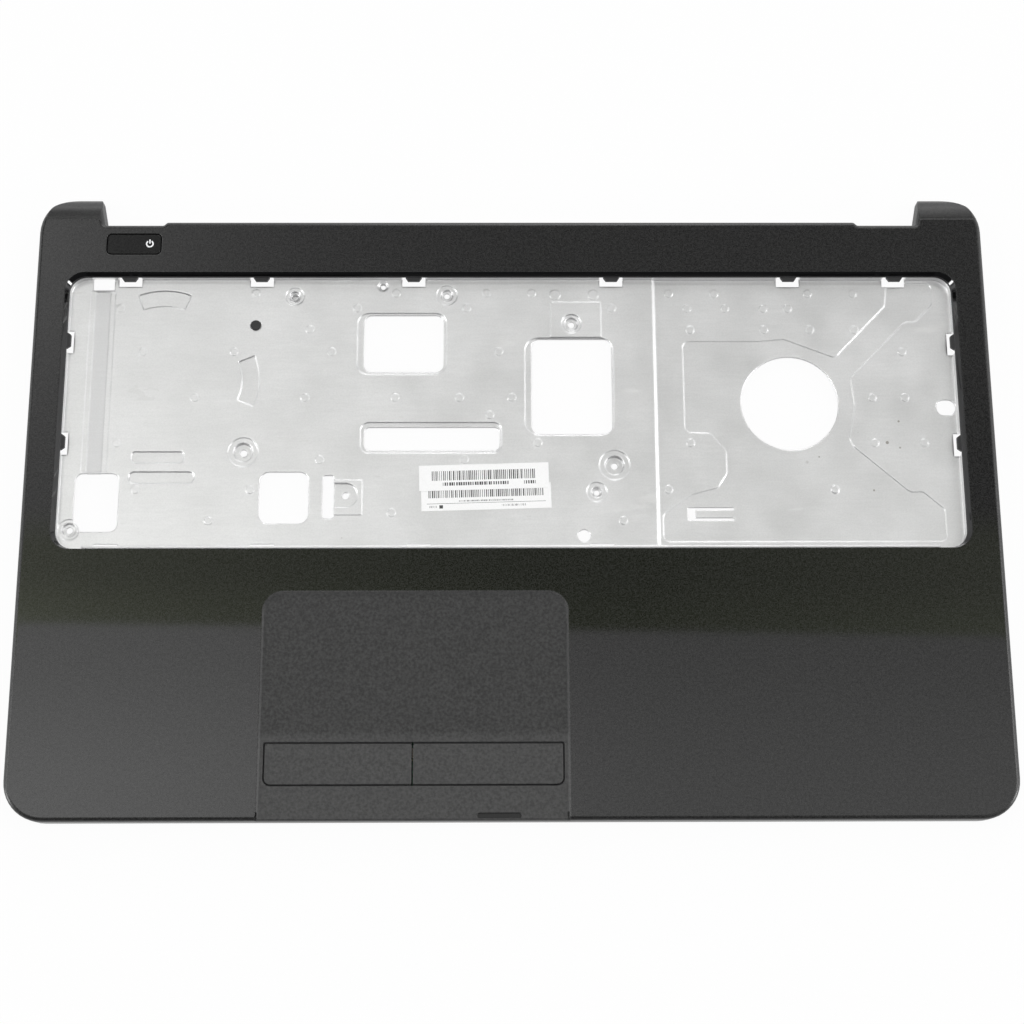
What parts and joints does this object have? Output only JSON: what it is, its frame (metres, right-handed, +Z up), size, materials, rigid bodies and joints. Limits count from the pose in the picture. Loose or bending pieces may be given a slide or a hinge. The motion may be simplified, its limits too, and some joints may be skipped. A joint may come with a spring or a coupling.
{
  "type": "laptop palm rest",
  "caption": "Top cover of a laptop with palm rest, recessed touchpad, touchpad buttons, power button and a pressed metal keyboard plate.",
  "frame": {"origin": "under the middle of the cover, level with the foot of its rim", "axes": "+X to the user's right, +Y from the user's edge to the hinges, +Z up out of the deck"},
  "size_m": [0.376, 0.248, 0.009],
  "materials": {
    "cover_plastic": "fine-textured charcoal moulding, glossy black on the bay's bevel",
    "plate_sheet": "satin silver sheet",
    "plug_rubber": "matt black",
    "label_paper": "white paper label with plain printed stripes",
    "icon_plastic": "milky clear",
    "board_laminate": "green solder mask",
    "switch_plastic": "black moulding",
    "plunger_plastic": "grey moulding",
    "lamp_resin": "clear resin",
    "socket_plastic": "ivory moulding",
    "tape": "black double-sided film",
    "zinc_steel": "zinc-plated sheet",
    "brass": "turned"
  },
  "bodies": {
    "cover": {"top_cover": "cover_plastic", "keyboard_plate": "plate_sheet", "plate_plug": "plug_rubber", "lower_label": "label_paper", "upper_label": "label_paper", "power_board": "board_laminate", "touchpad_board": "board_laminate", "button_board": "board_laminate", "power_switch": "switch_plastic", "left_switch": "switch_plastic", "right_switch": "switch_plastic", "touchpad_controller": "switch_plastic", "power_lamp": "lamp_resin", "power_socket": "socket_plastic", "touchpad_socket": "socket_plastic", "button_socket": "socket_plastic", "touchpad_adhesive": "tape", "touchpad_bracket": "zinc_steel", "power_screws": "zinc_steel", "bracket_screws": "zinc_steel", "small_inserts": "brass", "base_inserts": "brass"},
    "power_button": {"power_button": "cover_plastic", "power_icon": "icon_plastic", "power_plunger": "plunger_plastic"},
    "left_button": {"left_button": "cover_plastic", "left_plunger": "plunger_plastic"},
    "right_button": {"right_button": "cover_plastic", "right_plunger": "plunger_plastic"}
  },
  "joints": [
    {"name": "power_press", "type": "slide", "parent": "cover", "child": "power_button", "axis": [0, 0, -1], "range_m": [0, 0.0003], "stiffness_N_per_m": 1200},
    {"name": "left_press", "type": "slide", "parent": "cover", "child": "left_button", "axis": [0, 0, -1], "range_m": [0, 0.0005], "stiffness_N_per_m": 1200},
    {"name": "right_press", "type": "slide", "parent": "cover", "child": "right_button", "axis": [0, 0, -1], "range_m": [0, 0.0005], "stiffness_N_per_m": 1200}
  ]
}
